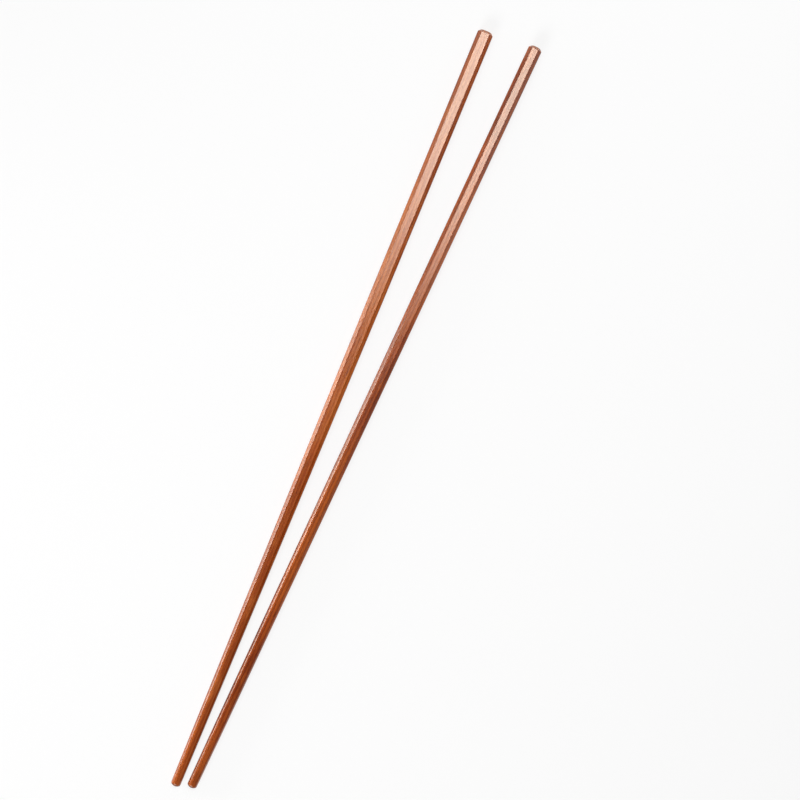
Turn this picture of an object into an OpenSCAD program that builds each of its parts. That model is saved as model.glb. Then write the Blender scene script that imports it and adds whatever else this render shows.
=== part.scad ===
// A pair of long cooking chopsticks, lying side by side with the tips close and the butts apart.
// Each is one piece of hardwood: an eight-sided handle and a shank whose flats die out into a round tip.
// +Y runs from the tips to the butts, +X to the right seen from above, and the pair lies on Z = 0.

/* [Length] */
// Length of a stick, from the dome of the tip to the end of the butt
stick_len = 420; // [330:1:450]
// Length of the handle, from the butt to the shoulder where the taper steepens
handle_len = 150; // [100:1:180]
// Length of the round tip, below the point where the flats die out
round_tip_len = 40; // [20:1:90]

/* [Section] */
// Broad width of the section at the butt
butt_broad = 8.15; // [7.8:0.05:10]
// Narrow width of the section at the butt
butt_narrow = 7.1; // [6.85:0.05:9]
// Broad width of the section at the shoulder
shoulder_broad = 7.8; // [7:0.05:8.15]
// Narrow width of the section at the shoulder
shoulder_narrow = 6.85; // [6.2:0.05:7.1]
// Leg of the 45 degree flat planed along each corner
corner_leg = 1.85; // [1:0.05:2.2]

/* [Ends] */
// Diameter of the stick at the tip
tip_d = 5.1; // [4:0.05:5.6]
// Height of the shallow dome at the tip
tip_dome_h = 1.3; // [0.6:0.05:2]
// Leg of the chamfer round the end of the butt
butt_chamfer = 1.4; // [0.5:0.05:2]

/* [Lay of the pair] */
// Clear gap between the two tips
tip_gap = 2.85; // [1:0.05:20]
// Angle at which the two sticks open towards the butts
spread_deg = 2.56; // [0.5:0.02:6]
// How far the right stick lies ahead of the left one, towards the butts
stagger = 2.6; // [0:0.1:20]

/* [Hidden] */
$fn = 96;

// How far the blank stands outside the arrises of the shoulder before it is planed
blank_allowance = 0.04;
// The way that the narrow and the broad flats face, round the axis: the corner flats lie between them
narrow_flat_turn = 0;
broad_flat_turn = 90;
corner_turn = 45;

tip_r = tip_d / 2;
shoulder_z = stick_len - handle_len;
half_spread = spread_deg / 2;

// Farthest corner of the shoulder's section once the corner flats are planed, and the taper that clears it
shoulder_arris_r = norm([shoulder_broad / 2, shoulder_narrow / 2 - corner_leg]);
taper_slope = (shoulder_arris_r + blank_allowance - tip_r) / shoulder_z;

// Radius of the blank at the butt and where the flats die out, and of the sphere that domes the tip
butt_blank_r = tip_r + taper_slope * stick_len;
round_r = tip_r + taper_slope * round_tip_len;
dome_r = (tip_r ^ 2 + tip_dome_h ^ 2) / (2 * tip_dome_h);

// Distance from the axis to the flat that faces this way, on a section of these widths
function flat_reach(turn, broad, narrow) =
    turn % 180 == narrow_flat_turn ? broad / 2 :
    turn % 180 == broad_flat_turn ? narrow / 2 :
    ((broad + narrow) / 2 - corner_leg) / sqrt(2);
function butt_reach(turn) = flat_reach(turn, butt_broad, butt_narrow);
function shoulder_reach(turn) = flat_reach(turn, shoulder_broad, shoulder_narrow);

// Angle at which a flat leans out from the axis, on the shank and on the handle
function shank_lean(turn) = atan((shoulder_reach(turn) - round_r) / (shoulder_z - round_tip_len));
function handle_lean(turn) = atan((butt_reach(turn) - shoulder_reach(turn)) / handle_len);

// Tapered round blank with a domed tip at the origin and its axis on Z
module blank() {
    rotate_extrude()
        intersection() {
            polygon([[0, 0], [tip_r, 0], [butt_blank_r, stick_len], [0, stick_len]]);
            union() {
                translate([0, dome_r]) circle(dome_r);
                translate([0, dome_r]) square([2 * butt_blank_r, stick_len]);
            }
        }
}

// Wood that a plane leaves: it passes the axis at this reach and height, and leans out by this angle
module planed(turn, reach, z, lean) {
    rotate([0, 0, turn])
        translate([reach, 0, z])
            rotate([0, lean, 0])
                translate([-stick_len, -butt_broad, -stick_len])
                    cube([stick_len, 2 * butt_broad, 2 * stick_len]);
}

// One stick, standing on its tip with its axis on Z: the blank, planed on eight sides, its butt chamfered
module stick() {
    intersection() {
        blank();
        intersection_for (turn = [0 : corner_turn : 360 - corner_turn])
            intersection() {
                planed(turn, round_r, round_tip_len, shank_lean(turn));
                planed(turn, shoulder_reach(turn), shoulder_z, handle_lean(turn));
                planed(turn, butt_reach(turn) - butt_chamfer, stick_len, -corner_turn);
            }
    }
}

// Lays a stick on its shank, on the flat that faces rest_turn, with its tip here and its butt swung by yaw
module lay(rest_turn, tip_x, tip_y, yaw) {
    lean = shank_lean(rest_turn);
    rest_h = round_r * cos(lean) - round_tip_len * sin(lean);
    translate([tip_x, tip_y, rest_h])
        rotate([lean - 90, 0, yaw])
            rotate([0, 0, broad_flat_turn - rest_turn])
                stick();
}

// The pair is centred on the origin: its length is that of the staggered sticks, and its width is
// uneven because the left stick lies with its broad flat up and the right one with its narrow flat up
pair_len = stagger + stick_len * cos(half_spread) + (butt_narrow / 2 - butt_chamfer) * sin(half_spread);
tip_x = (tip_gap + tip_d) / 2;
tip_y = -pair_len / 2;
width_shift = (butt_broad - butt_narrow) / 4;

module left_chopstick() {
    color("#9a461f")
        lay(broad_flat_turn, width_shift - tip_x, tip_y, half_spread);
}

module right_chopstick() {
    color("#8c3f1e")
        lay(narrow_flat_turn, width_shift + tip_x, tip_y + stagger, -half_spread);
}

left_chopstick();
right_chopstick();
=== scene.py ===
"""A pair of long cooking chopsticks in planed and oiled red-brown hardwood, lying on white paper."""

from math import atan, atan2, cos, log, pi, radians, sin, sqrt

import bmesh
import bpy
from mathutils import Matrix, Vector


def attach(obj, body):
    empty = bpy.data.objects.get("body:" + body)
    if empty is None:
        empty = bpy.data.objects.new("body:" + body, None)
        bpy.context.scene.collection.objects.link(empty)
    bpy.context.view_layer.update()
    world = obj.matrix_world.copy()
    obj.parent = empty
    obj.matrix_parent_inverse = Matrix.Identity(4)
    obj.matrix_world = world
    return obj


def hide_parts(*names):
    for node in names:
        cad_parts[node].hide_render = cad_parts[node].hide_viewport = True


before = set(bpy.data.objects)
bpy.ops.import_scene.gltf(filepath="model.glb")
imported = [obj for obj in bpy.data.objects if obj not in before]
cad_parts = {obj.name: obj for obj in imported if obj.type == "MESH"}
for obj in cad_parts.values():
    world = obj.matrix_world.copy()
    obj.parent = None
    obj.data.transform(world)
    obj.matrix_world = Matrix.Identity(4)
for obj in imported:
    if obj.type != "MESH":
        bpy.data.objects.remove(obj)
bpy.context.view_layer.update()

# Sizes of a stick in millimetres, the same as the solids have
MM = 0.001
STICK_LEN = 420
HANDLE_LEN = 150
ROUND_TIP_LEN = 40
BUTT_BROAD, BUTT_NARROW = 8.15, 7.1
SHOULDER_BROAD, SHOULDER_NARROW = 7.8, 6.85
CORNER_LEG = 1.85
TIP_R = 2.55
TIP_DOME_H = 1.3
BUTT_CHAMFER = 1.4
BLANK_ALLOWANCE = 0.04

# How the pair lies, in millimetres and degrees
TIP_GAP = 2.85
HALF_SPREAD = radians(1.28)
STAGGER = 2.6

# Softening of the edges in millimetres: a plane and sandpaper leave the arrises just rounded
ARRIS_ROUND = 0.28
BUTT_SOFT = 0.3
TIP_SOFT = 0.4
SOFT_SEGMENTS = 4
SHARPEST_SMOOTH = radians(32)

# How finely a stick is divided: points from one arris to the next, and rings along it
SIDES = 8
SIDE_POINTS = 24
RING_POINTS = SIDES * SIDE_POINTS
ARRIS_CROWDING = 0.85
DOME_RINGS = 7
SHANK_RING_STEP = 6
HANDLE_RING_STEP = 15
BUTT_RINGS, BUTT_RING_STEP = 7, 0.35

# Tolerances in millimetres: what still counts as near the axis, as on a ring, and as the same point
NEAR_AXIS = 0.6
ON_RING = 0.01
SAME_POINT = 0.002

# The shoulder, the taper of the blank down to the tip, and where the flats die out
SHOULDER_Z = STICK_LEN - HANDLE_LEN
SHOULDER_ARRIS_R = Vector((SHOULDER_BROAD / 2, SHOULDER_NARROW / 2 - CORNER_LEG)).length
TAPER = (SHOULDER_ARRIS_R + BLANK_ALLOWANCE - TIP_R) / SHOULDER_Z
ROUND_R = TIP_R + TAPER * ROUND_TIP_LEN
DOME_R = (TIP_R**2 + TIP_DOME_H**2) / (2 * TIP_DOME_H)

# Where two surfaces meet, their distances are blended with this power, which rounds an arris by ARRIS_ROUND
SIDE_TURN = 2 * pi / SIDES
ARRIS_POWER = log(2) * SHOULDER_ARRIS_R / (ARRIS_ROUND * (1 / cos(SIDE_TURN / 2) - 1))


def deselect():
    bpy.ops.object.select_all(action="DESELECT")


def off_axis(vertex):
    """Tells the vertices on the surface of a stick from those in the middle of its ends."""
    return vertex.co.xy.length > NEAR_AXIS


def pick_ring(stick, z):
    """In edit mode, selects the edges of the ring at this height and nothing else."""
    bpy.ops.mesh.select_mode(type="EDGE")
    bpy.ops.mesh.select_all(action="DESELECT")
    mesh = bmesh.from_edit_mesh(stick.data)
    for edge in mesh.edges:
        if all(off_axis(vertex) and abs(vertex.co.z - z) < ON_RING for vertex in edge.verts):
            edge.select_set(True)
    mesh.select_flush_mode()
    bmesh.update_edit_mesh(stick.data)


def section_reach(side, broad, narrow):
    """Distance from the axis to one of the eight flats, on a section of these widths."""
    if side % 2:
        return ((broad + narrow) / 2 - CORNER_LEG) / sqrt(2)
    return (narrow if side % 4 else broad) / 2


def flat_reach(side, z):
    """Distance from the axis to a flat at this height: planed straight on the handle and on the shank."""
    shoulder = section_reach(side, SHOULDER_BROAD, SHOULDER_NARROW)
    if z > SHOULDER_Z:
        butt = section_reach(side, BUTT_BROAD, BUTT_NARROW)
        return shoulder + (butt - shoulder) * (z - SHOULDER_Z) / HANDLE_LEN
    return ROUND_R + (shoulder - ROUND_R) * (z - ROUND_TIP_LEN) / (SHOULDER_Z - ROUND_TIP_LEN)


def blank_r(z):
    """Radius of the tapered blank with its domed tip, before it is planed."""
    cone = TIP_R + TAPER * z
    return min(cone, sqrt(DOME_R**2 - (DOME_R - z) ** 2)) if z < DOME_R else cone


def planed_r(turn, z):
    """Distance from the axis to the finished surface: the nearest of the blank, the flats and the chamfers
    of the butt, blended where they meet."""
    nearness = blank_r(z) ** -ARRIS_POWER
    for side in range(SIDES):
        facing = cos(turn - side * SIDE_TURN)
        if facing > 0:
            chamfer = section_reach(side, BUTT_BROAD, BUTT_NARROW) - BUTT_CHAMFER + STICK_LEN - z
            for reach in (flat_reach(side, z), chamfer):
                nearness += (facing / reach) ** ARRIS_POWER
    return nearness ** (-1 / ARRIS_POWER)


def arris_turn(side, z):
    """The turn at which a flat meets the next one."""
    ratio = flat_reach((side + 1) % SIDES, z) / flat_reach(side % SIDES, z)
    return side * SIDE_TURN + atan((ratio - cos(SIDE_TURN)) / sin(SIDE_TURN))


def ring_heights():
    """Heights of the rings: close at the ends, where the form curves, and wider along the stick."""
    dome = [TIP_DOME_H * (ring / DOME_RINGS) ** 2 for ring in range(1, DOME_RINGS + 1)]
    shank = range(SHANK_RING_STEP, SHOULDER_Z + 1, SHANK_RING_STEP)
    handle = range(SHOULDER_Z + HANDLE_RING_STEP, STICK_LEN, HANDLE_RING_STEP)
    butt = [STICK_LEN - BUTT_RING_STEP * ring for ring in range(1, BUTT_RINGS + 1)]
    return [*dome, *shank, *handle, *butt]


def cut_blank():
    """A round blank in millimetres, with its tip at the origin and its axis on Z, cut into rings."""
    deselect()
    bpy.ops.mesh.primitive_cylinder_add(vertices=RING_POINTS, radius=BUTT_BROAD, depth=STICK_LEN,
                                        end_fill_type="TRIFAN", location=(0, 0, STICK_LEN / 2))
    bpy.ops.object.transform_apply(location=True, rotation=True, scale=True)
    bpy.ops.object.mode_set(mode="EDIT")
    for z in ring_heights():
        bpy.ops.mesh.select_all(action="SELECT")
        bpy.ops.mesh.bisect(plane_co=(0, 0, z), plane_no=(0, 0, 1))
    return bpy.context.object


def plane_flats(stick):
    """Brings each ring in to the planed section, with its points crowded towards the arrises. The lowest
    ring closes into the pole of the tip."""
    mesh = bmesh.from_edit_mesh(stick.data)
    for vertex in filter(off_axis, mesh.verts):
        x, y, z = vertex.co
        point = round(atan2(y, x) / (2 * pi) * RING_POINTS) % RING_POINTS
        side, step = divmod(point, SIDE_POINTS)
        share = step / SIDE_POINTS
        share -= ARRIS_CROWDING * sin(2 * pi * share) / (2 * pi)
        start, end = arris_turn(side, z), arris_turn(side + 1, z)
        turn = start + (end - start) * share
        r = planed_r(turn, z) if z > 0 else 0
        vertex.co.xy = r * cos(turn), r * sin(turn)
    bmesh.update_edit_mesh(stick.data)
    bpy.ops.mesh.select_all(action="SELECT")
    bpy.ops.mesh.remove_doubles(threshold=SAME_POINT)


def soften_ends(stick):
    """Rubs the edge round the end of the butt and the edge of the dome soft."""
    for z, softness in ((STICK_LEN, BUTT_SOFT), (TIP_DOME_H, TIP_SOFT)):
        pick_ring(stick, z)
        bpy.ops.mesh.bevel(offset=softness, segments=SOFT_SEGMENTS)
    bpy.ops.mesh.select_all(action="SELECT")
    bpy.ops.mesh.normals_make_consistent(inside=False)
    bpy.ops.object.mode_set(mode="OBJECT")
    bpy.ops.object.shade_smooth_by_angle(angle=SHARPEST_SMOOTH)


def place_on_flat(reach, roll, tip_x, tip_y, yaw):
    """The place of a stick that lies on its shank, on a flat this far from the axis at the shoulder."""
    lean = atan((reach - ROUND_R) / (SHOULDER_Z - ROUND_TIP_LEN))
    rest_h = ROUND_R * cos(lean) - ROUND_TIP_LEN * sin(lean)
    spot = Matrix.Translation(Vector((tip_x, tip_y, rest_h)) * MM)
    turn = Matrix.Rotation(yaw, 4, "Z") @ Matrix.Rotation(lean - radians(90), 4, "X")
    return spot @ turn @ Matrix.Rotation(roll, 4, "Z")


def lay(stick, place):
    """Brings a stick to metres and to its place, with its object left at the origin."""
    deselect()
    stick.select_set(True)
    bpy.context.view_layer.objects.active = stick
    stick.matrix_world = place @ Matrix.Scale(MM, 4)
    bpy.ops.object.transform_apply(location=True, rotation=True, scale=True)


# The pair is centred on the origin. The left stick lies with a broad flat up and the right one with a narrow
# flat up, a quarter turn further on, which makes the pair uneven in width.
BROAD_FLAT_UP, NARROW_FLAT_UP = 0, radians(90)
PAIR_LEN = STAGGER + STICK_LEN * cos(HALF_SPREAD) + (BUTT_NARROW / 2 - BUTT_CHAMFER) * sin(HALF_SPREAD)
TIP_X = TIP_GAP / 2 + TIP_R
TIP_Y = -PAIR_LEN / 2
WIDTH_SHIFT = (BUTT_BROAD - BUTT_NARROW) / 4
left_place = place_on_flat(SHOULDER_NARROW / 2, BROAD_FLAT_UP, WIDTH_SHIFT - TIP_X, TIP_Y, HALF_SPREAD)
right_place = place_on_flat(SHOULDER_BROAD / 2, NARROW_FLAT_UP, WIDTH_SHIFT + TIP_X, TIP_Y + STAGGER,
                            -HALF_SPREAD)

left_stick = cut_blank()
left_stick.name = "left_stick"
plane_flats(left_stick)
soften_ends(left_stick)
right_stick = left_stick.copy()
right_stick.data = left_stick.data.copy()
right_stick.name = "right_stick"
bpy.context.scene.collection.objects.link(right_stick)
lay(left_stick, left_place)
lay(right_stick, right_place)


def linear(hex_colour):
    """An sRGB hex colour as linear red, green, blue and alpha."""
    channels = [int(hex_colour[i:i + 2], 16) / 255 for i in (1, 3, 5)]
    return [c / 12.92 if c <= 0.04045 else ((c + 0.055) / 1.055) ** 2.4 for c in channels] + [1]


def node(tree, kind, settings=None, **links):
    """Adds a node with its settings, and feeds its inputs with values or with other nodes' outputs.
    An input is named by its label in lower case with underscores, or by its number after an n."""
    new = tree.nodes.new(kind)
    for name, value in (settings or {}).items():
        setattr(new, name, value)
    labels = {socket.name.lower().replace(" ", "_"): socket for socket in reversed(new.inputs)}
    for name, value in links.items():
        socket = new.inputs[int(name[1:])] if name[1:].isdigit() else labels[name]
        if isinstance(value, bpy.types.NodeSocket):
            tree.links.new(value, socket)
        else:
            socket.default_value = value
    return new


def bare_material(name):
    """A material with nothing in its node tree yet."""
    material = bpy.data.materials.new(name)
    material.use_nodes = True
    material.node_tree.nodes.clear()
    return material


# What the two sticks share: the colours of pores (also laid on the tips as painted shade), sawn ends and
# gloss, the ring spacing and the height of the relief in millimetres, how far the tone swells along a
# stick, and how rough the oiled wood is, with what its ends add to that
PORE_BROWN_AND_PAINTED_TIP_SHADE = "#4A1D0C"
END_GRAIN = "#C8997A"
WARM_GLOSS = "#FFEBD6"
RING_SPACING = 1.9
RELIEF_H, RELIEF_STRENGTH = 0.02, 0.3
TONE_SWELL = 0.19
SMOOTHEST, ROUGHEST = 0.22, 0.28
MATT_ENDS = 0.3
SMOOTHSTEP = {"interpolation_type": "SMOOTHSTEP"}


def hardwood(name, place, mid, dark, pale, from_pith, tone_period, palest_at):
    """Red-brown hardwood, planed, sanded and rubbed with oil. Growth rings round a pith outside the stick
    give the eye long lines on its flats and arcs on its ends. Thin fibres and short dark pores run along the
    grain, over a faint mottle and a slow drift of tone. The oil leaves a warm satin gloss, and the sawn butt
    is paler. The dome of the tip is darker, partly from darker end grain and partly as painted shade. Both
    ends are more matt. The place of the pith, the period of the tone and the height at which it is palest are
    in millimetres."""
    material = bare_material(name)
    tree = material.node_tree

    # The stick's own axes, with Z along the grain from the tip, and the same axes from the pith
    coordinates = node(tree, "ShaderNodeTexCoord")
    along = node(tree, "ShaderNodeMapping", {"vector_type": "TEXTURE"}, vector=coordinates.outputs["Object"],
                 location=place.to_translation(), rotation=place.to_euler())
    grain = node(tree, "ShaderNodeVectorMath", {"operation": "ADD"}, n0=along.outputs[0],
                 n1=Vector(from_pith) * MM)

    # Each layer of the figure, with its size across and along the grain in millimetres. A wave texture at a
    # scale of pi / 10 has one ring in that size. Pores are nearer 0.1 mm wide, and are drawn wider to show.
    noise = ("ShaderNodeTexNoise", None)
    rings = ("ShaderNodeTexWave", {"wave_type": "RINGS", "rings_direction": "Z"})
    figure = {}
    for layer, (kind, settings), across, length, inputs in (
            ("drift", noise, 9, 110, {"scale": 1, "detail": 1}),
            ("rings", rings, RING_SPACING, 130, {"scale": pi / 10, "distortion": 3, "detail": 2}),
            ("mottle", noise, 3.5, 14, {"scale": 1, "detail": 1}),
            ("fibre", noise, 0.5, 28, {"scale": 1, "detail": 3}),
            ("pores", noise, 0.28, 6, {"scale": 1, "detail": 1})):
        stretch = Vector((1 / across, 1 / across, 1 / length)) / MM
        stretched = node(tree, "ShaderNodeVectorMath", {"operation": "MULTIPLY"}, n0=grain.outputs[0],
                         n1=stretch)
        figure[layer] = node(tree, kind, settings, vector=stretched.outputs[0], **inputs).outputs["Fac"]

    # The tone also swells slowly along the stick, palest at one height and again a period further on
    height = node(tree, "ShaderNodeSeparateXYZ", vector=along.outputs[0]).outputs[2]
    phase = node(tree, "ShaderNodeMath", {"operation": "MULTIPLY_ADD"}, n0=height,
                 n1=2 * pi / (tone_period * MM), n2=-2 * pi * palest_at / tone_period)
    swell = node(tree, "ShaderNodeMath", {"operation": "COSINE"}, n0=phase.outputs[0])
    drift = node(tree, "ShaderNodeMath", {"operation": "MULTIPLY_ADD"}, n0=swell.outputs[0], n1=TONE_SWELL,
                 n2=figure["drift"])
    figure["drift"] = drift.outputs[0]

    # The ends show by how far the surface faces along the stick: 1 at the butt, -1 at the tip
    butt_end, tip_end = (0.65, 0.95), (-0.15, -0.55)
    facing = node(tree, "ShaderNodeVectorMath", {"operation": "DOT_PRODUCT"},
                  n0=coordinates.outputs["Normal"], n1=place.to_3x3() @ Vector((0, 0, 1)))
    figure["ends"] = facing.outputs[1]

    # Colour is laid on in coats: as a layer goes from one level to another, its coat grows to its share
    colour = linear(mid)
    for layer, start, full, share, coat in (
            ("drift", 0.5, 0.3, 0.8, dark),
            ("drift", 0.5, 0.7, 0.85, pale),
            ("mottle", 0.5, 0.3, 0.45, dark),
            ("mottle", 0.5, 0.7, 0.5, pale),
            ("ends", 0.5, 0.95, 0.75, END_GRAIN),
            ("rings", 0.55, 0.95, 0.45, dark),
            ("rings", 0.45, 0.1, 0.3, pale),
            ("fibre", 0.5, 0.72, 0.5, dark),
            ("fibre", 0.46, 0.28, 0.35, pale),
            ("pores", 0.62, 0.72, 0.6, PORE_BROWN_AND_PAINTED_TIP_SHADE),
            # The dome of the tip darkens towards its end: partly darker end grain, partly painted shade
            ("ends", *tip_end, 0.65, PORE_BROWN_AND_PAINTED_TIP_SHADE)):
        amount = node(tree, "ShaderNodeMapRange", SMOOTHSTEP, n0=figure[layer], n1=start, n2=full,
                      n3=0, n4=share)
        coated = node(tree, "ShaderNodeMix", {"data_type": "RGBA"}, n0=amount.outputs[0], n6=colour,
                      n7=linear(coat))
        colour = coated.outputs[2]

    # Fibres stand a hair proud of the pores, the gloss wavers with them, and the ends are more matt
    relief = node(tree, "ShaderNodeMath", {"operation": "SUBTRACT"}, n0=figure["fibre"], n1=figure["pores"])
    bump = node(tree, "ShaderNodeBump", height=relief.outputs[0], strength=RELIEF_STRENGTH,
                distance=RELIEF_H * MM)
    satin = node(tree, "ShaderNodeMapRange", n0=figure["fibre"], n1=0.3, n2=0.7, n3=SMOOTHEST, n4=ROUGHEST)
    roughness = satin.outputs[0]
    for start, full in (butt_end, tip_end):
        matt = node(tree, "ShaderNodeMapRange", n0=figure["ends"], n1=start, n2=full, n3=0, n4=MATT_ENDS)
        added = node(tree, "ShaderNodeMath", {"operation": "ADD"}, n0=roughness, n1=matt.outputs[0])
        roughness = added.outputs[0]
    wood = node(tree, "ShaderNodeBsdfPrincipled", base_color=colour, roughness=roughness,
                normal=bump.outputs[0], ior=1.5, specular_ior_level=0.8, specular_tint=linear(WARM_GLOSS),
                coat_weight=0.1, coat_roughness=0.2)
    node(tree, "ShaderNodeOutputMaterial", surface=wood.outputs[0])
    return material


left_stick.data.materials.append(hardwood(
    "planed_and_oiled_hardwood_left", left_place, mid="#A84D19", dark="#8E3B11", pale="#C0692E",
    from_pith=(13, 8, 0), tone_period=308, palest_at=245))
right_stick.data.materials.append(hardwood(
    "planed_and_oiled_hardwood_right", right_place, mid="#993F11", dark="#712807", pale="#B0561F",
    from_pith=(9, -15, 600), tone_period=160, palest_at=150))

for stick, cad_node in ((left_stick, "left_chopstick"), (right_stick, "right_chopstick")):
    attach(stick, "root")
    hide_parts(cad_node)


def seen(tree):
    """1 where the camera sees something, straight on or in a reflection, and 0 where it only gives light."""
    path = node(tree, "ShaderNodeLightPath")
    rays = path.outputs["Is Camera Ray"]
    for kind in ("Is Glossy Ray", "Is Transmission Ray"):
        either = node(tree, "ShaderNodeMath", {"operation": "MAXIMUM"}, n0=rays, n1=path.outputs[kind])
        rays = either.outputs[0]
    return rays


def studio_floor():
    """Seamless matt white paper. It keeps a soft shadow near the sticks, and reads as white to the camera
    and in reflections, fully so from a metre away."""
    paper_size = 24
    near, far = 0.3, 1
    white_near, white_far = 0.78, 1
    deselect()
    bpy.ops.mesh.primitive_plane_add(size=paper_size)
    floor = bpy.context.object
    floor.name = "studio_floor"
    paper = bare_material("matt_white_paper")
    tree = paper.node_tree
    matt = node(tree, "ShaderNodeBsdfDiffuse", color=linear("#F8F8F8"))
    glow = node(tree, "ShaderNodeEmission", color=linear("#FFFFFF"), strength=1)
    spot = node(tree, "ShaderNodeTexCoord").outputs["Object"]
    away = node(tree, "ShaderNodeVectorMath", {"operation": "LENGTH"}, n0=spot).outputs[1]
    whiteness = node(tree, "ShaderNodeMapRange", SMOOTHSTEP, n0=away, n1=near, n2=far, n3=white_near,
                     n4=white_far)
    share = node(tree, "ShaderNodeMath", {"operation": "MULTIPLY"}, n0=seen(tree), n1=whiteness.outputs[0])
    mix = node(tree, "ShaderNodeMixShader", n0=share.outputs[0], n1=matt.outputs[0], n2=glow.outputs[0])
    node(tree, "ShaderNodeOutputMaterial", surface=mix.outputs[0])
    floor.data.materials.append(paper)


def black_card():
    """Matt black card that stands to the right of the shanks, out of the camera's sight. The right corner
    flats mirror it, which keeps their edges dark against the white paper."""
    place = 0.3, -0.185, 0.08
    height, length = 0.16, 0.53
    deselect()
    bpy.ops.mesh.primitive_plane_add(size=1, location=place, rotation=(0, radians(-90), 0))
    card = bpy.context.object
    card.name = "black_card"
    card.scale = height, length, 1
    bpy.ops.object.transform_apply(location=True, rotation=True, scale=True)
    card.visible_camera = False
    card.visible_shadow = False
    paint = bare_material("matt_black_card")
    matt = node(paint.node_tree, "ShaderNodeBsdfDiffuse", color=linear("#1A1A1A"))
    node(paint.node_tree, "ShaderNodeOutputMaterial", surface=matt.outputs[0])
    card.data.materials.append(paint)


def softbox(name, place, target, width, height, brightness, spread=180):
    """A rectangular studio lamp that faces a point on the sticks. At full spread, a brightness of 1 is that
    of white paper, and a narrower spread gathers the light."""
    lamp = bpy.data.lights.new(name, "AREA")
    lamp.shape = "RECTANGLE"
    lamp.size, lamp.size_y = width, height
    lamp.energy = brightness * pi * width * height
    lamp.spread = radians(spread)
    holder = bpy.data.objects.new(name, lamp)
    holder.location = place
    holder.rotation_euler = (Vector(target) - Vector(place)).to_track_quat("-Z", "Y").to_euler()
    holder.visible_camera = False
    bpy.context.scene.collection.objects.link(holder)


def studio_light():
    """Lamps placed for what each surface reflects to the camera: a high one over the butts for the upper
    flats of the handles, a low one on the left for the left corner flats of the shanks, and a low one beyond
    the butts for their ends. A high one beyond the tips fills. The room is white round about where it is
    seen, and otherwise dim."""
    softbox("handle_softbox", place=(-0.02, 0.415, 1.1), target=(0, 0.2, 0), width=0.34, height=0.46,
            brightness=3.7, spread=100)
    softbox("shank_softbox", place=(-0.62, -0.15, 0.11), target=(0, -0.17, 0), width=0.44, height=0.2,
            brightness=1.4, spread=60)
    softbox("butt_softbox", place=(0, 1, 0.22), target=(0, 0.2, 0), width=0.8, height=0.4, brightness=2.6)
    softbox("fill_softbox", place=(-0.2, -1.4, 1), target=(0, -0.05, 0), width=0.8, height=0.6, brightness=13)

    world = bpy.data.worlds.new("studio_room")
    bpy.context.scene.world = world
    world.use_nodes = True
    tree = world.node_tree
    tree.nodes.clear()

    # By the sine of the height above the horizon, the white fades out and the walls dim towards the ceiling
    white, white_to, white_gone = 0.75, 0.06, 0.2
    wall, wall_to, ceiling, ceiling_from = 0.25, 0.4, 0.05, 0.85
    direction = node(tree, "ShaderNodeTexCoord").outputs["Generated"]
    height = node(tree, "ShaderNodeSeparateXYZ", vector=direction).outputs[2]
    horizon = node(tree, "ShaderNodeMapRange", SMOOTHSTEP, n0=height, n1=white_to, n2=white_gone, n3=white,
                   n4=0)
    walls = node(tree, "ShaderNodeMapRange", SMOOTHSTEP, n0=height, n1=wall_to, n2=ceiling_from, n3=wall,
                 n4=ceiling)
    strength = node(tree, "ShaderNodeMath", {"operation": "MULTIPLY_ADD"}, n0=seen(tree),
                    n1=horizon.outputs[0], n2=walls.outputs[0])
    room = node(tree, "ShaderNodeBackground", color=linear("#FFFFFF"), strength=strength.outputs[0])
    node(tree, "ShaderNodeOutputWorld", surface=room.outputs[0])


def photo_camera():
    """Looks straight down on the pair, turned so that the sticks rise to the right as in the photograph. All
    sizes are in millimetres, and the field is as wide as the picture is at the height of the sticks."""
    lens, sensor = 85, 36
    field = 411.3
    stick_height = 4
    above_x, above_y = 22.52, 17.33
    turn = radians(23.72)
    camera = bpy.data.cameras.new("camera")
    camera.lens, camera.sensor_width = lens, sensor
    holder = bpy.data.objects.new("camera", camera)
    holder.location = Vector((above_x, above_y, stick_height + field * lens / sensor)) * MM
    holder.rotation_euler = (0, 0, turn)
    bpy.context.scene.collection.objects.link(holder)
    bpy.context.scene.camera = holder


studio_floor()
black_card()
studio_light()
photo_camera()
bpy.context.scene.view_settings.view_transform = "Standard"
